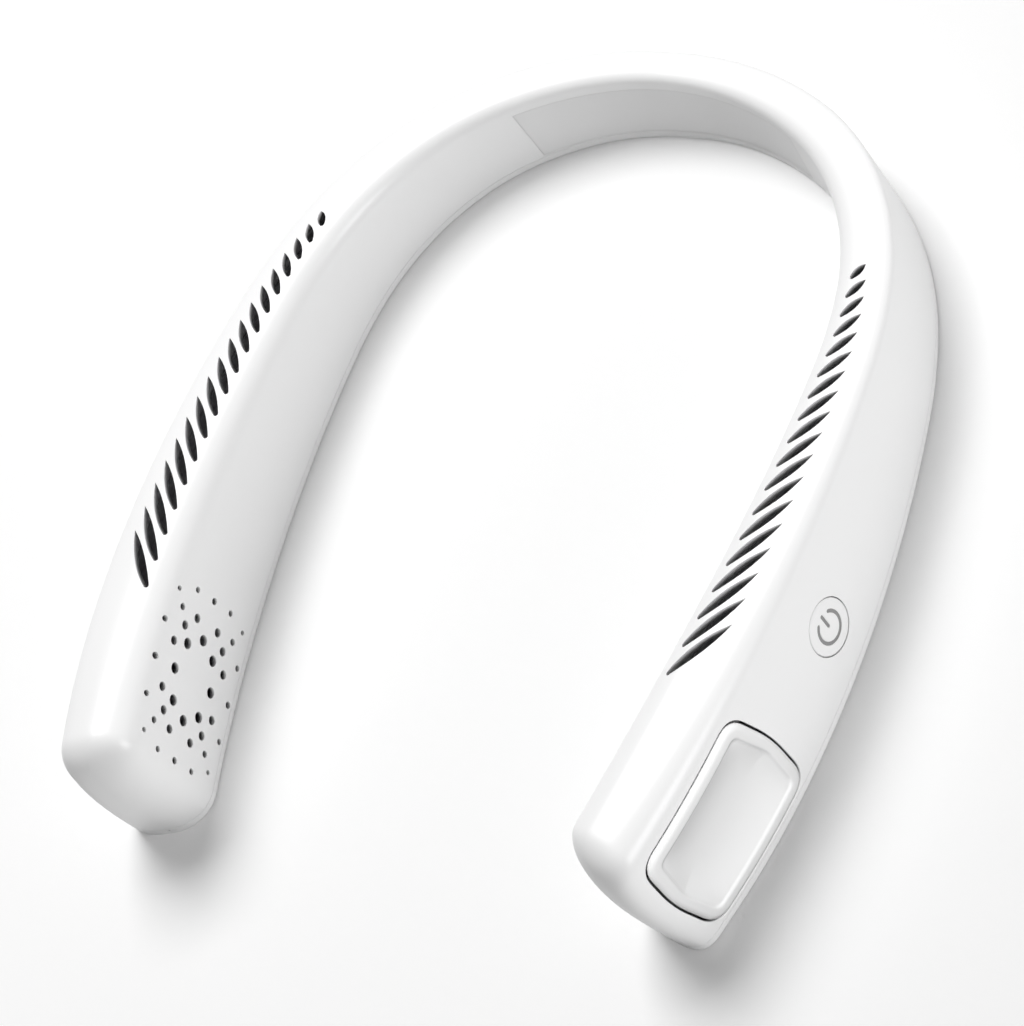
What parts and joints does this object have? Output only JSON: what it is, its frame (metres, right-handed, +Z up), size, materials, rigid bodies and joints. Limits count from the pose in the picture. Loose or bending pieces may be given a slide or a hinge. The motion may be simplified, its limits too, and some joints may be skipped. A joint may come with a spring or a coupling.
{
  "type": "neck fan",
  "caption": "U-shaped bladeless neck fan: a white band with a blower, holed inlet and side cover at each tip, slotted outlets along the arms and a round power button.",
  "frame": {"origin": "under the middle of the band's bounding box, on the surface that it lies on", "axes": "+Z up from the underside, +Y toward the back of the neck, -Y toward the tips, +X toward the arm with the power button, which is on the wearer's left"},
  "size_m": [0.188, 0.2008, 0.0383],
  "materials": {
    "shell": "white moulded plastic with a soft satin gloss",
    "pad": "light grey soft pad",
    "cover": "white glossy plastic",
    "button": "light grey plastic with a pressed grey ring and power symbol",
    "duct": "dark matt moulding",
    "impeller": "dark grey moulding",
    "magnet": "sintered magnet, dull",
    "steel": "bare steel",
    "screw": "bare steel",
    "bronze": "sintered bronze",
    "copper": "enamelled copper wire",
    "circuit_board": "green solder mask",
    "cell": "blue shrink sleeve over a metal can",
    "ferrite": "black ferrite",
    "black_plastic": "black moulding",
    "cable": "grey flat cable"
  },
  "bodies": {
    "housing": {"upper_shell": "shell", "bottom_cover": "shell", "neck_pad": "pad", "side_cover_left": "cover", "side_cover_right": "cover", "air_duct_left": "duct", "air_duct_right": "duct", "fan_casing_left": "duct", "fan_casing_right": "duct", "bearing_bush_left": "bronze", "bearing_bush_right": "bronze", "stator_core_left": "steel", "stator_core_right": "steel", "stator_coils_left": "copper", "stator_coils_right": "copper", "motor_board_left": "circuit_board", "motor_board_right": "circuit_board", "battery_left": "cell", "battery_right": "cell", "main_board": "circuit_board", "control_chip": "black_plastic", "boost_coil": "ferrite", "switch_body": "steel", "charging_socket": "steel", "socket_tongue": "black_plastic", "arm_cable": "cable", "fan_screw_1": "screw", "fan_screw_2": "screw", "fan_screw_3": "screw", "fan_screw_4": "screw", "case_screw_1": "screw", "case_screw_2": "screw", "case_screw_3": "screw", "case_screw_4": "screw", "case_screw_5": "screw", "case_screw_6": "screw", "case_screw_7": "screw", "case_screw_8": "screw"},
    "button": {"power_button": "button"},
    "plunger": {"switch_plunger": "black_plastic"},
    "fan_left": {"impeller_left": "impeller", "magnet_ring_left": "magnet", "motor_shaft_left": "steel"},
    "fan_right": {"impeller_right": "impeller", "magnet_ring_right": "magnet", "motor_shaft_right": "steel"}
  },
  "joints": [
    {"name": "power_button_press", "type": "slide", "parent": "housing", "child": "button", "axis": [-0.999, 0.0452, 0], "range_m": [0, 0.0004], "stiffness_N_per_m": 2000},
    {"name": "switch_plunger_press", "type": "slide", "parent": "housing", "child": "plunger", "axis": [-0.999, 0.0452, 0], "range_m": [0, 0.0004]},
    {"name": "fan_left_spin", "type": "hinge", "parent": "housing", "child": "fan_left", "pos_m": [-0.07651, -0.0691, 0.0173], "axis": [-0.9827, -0.185, 0], "continuous": true},
    {"name": "fan_right_spin", "type": "hinge", "parent": "housing", "child": "fan_right", "pos_m": [0.07651, -0.0691, 0.0173], "axis": [0.9827, -0.185, 0], "continuous": true}
  ],
  "couplings": [
    {"joint": "switch_plunger_press", "follows": "power_button_press", "ratio": 1}
  ]
}
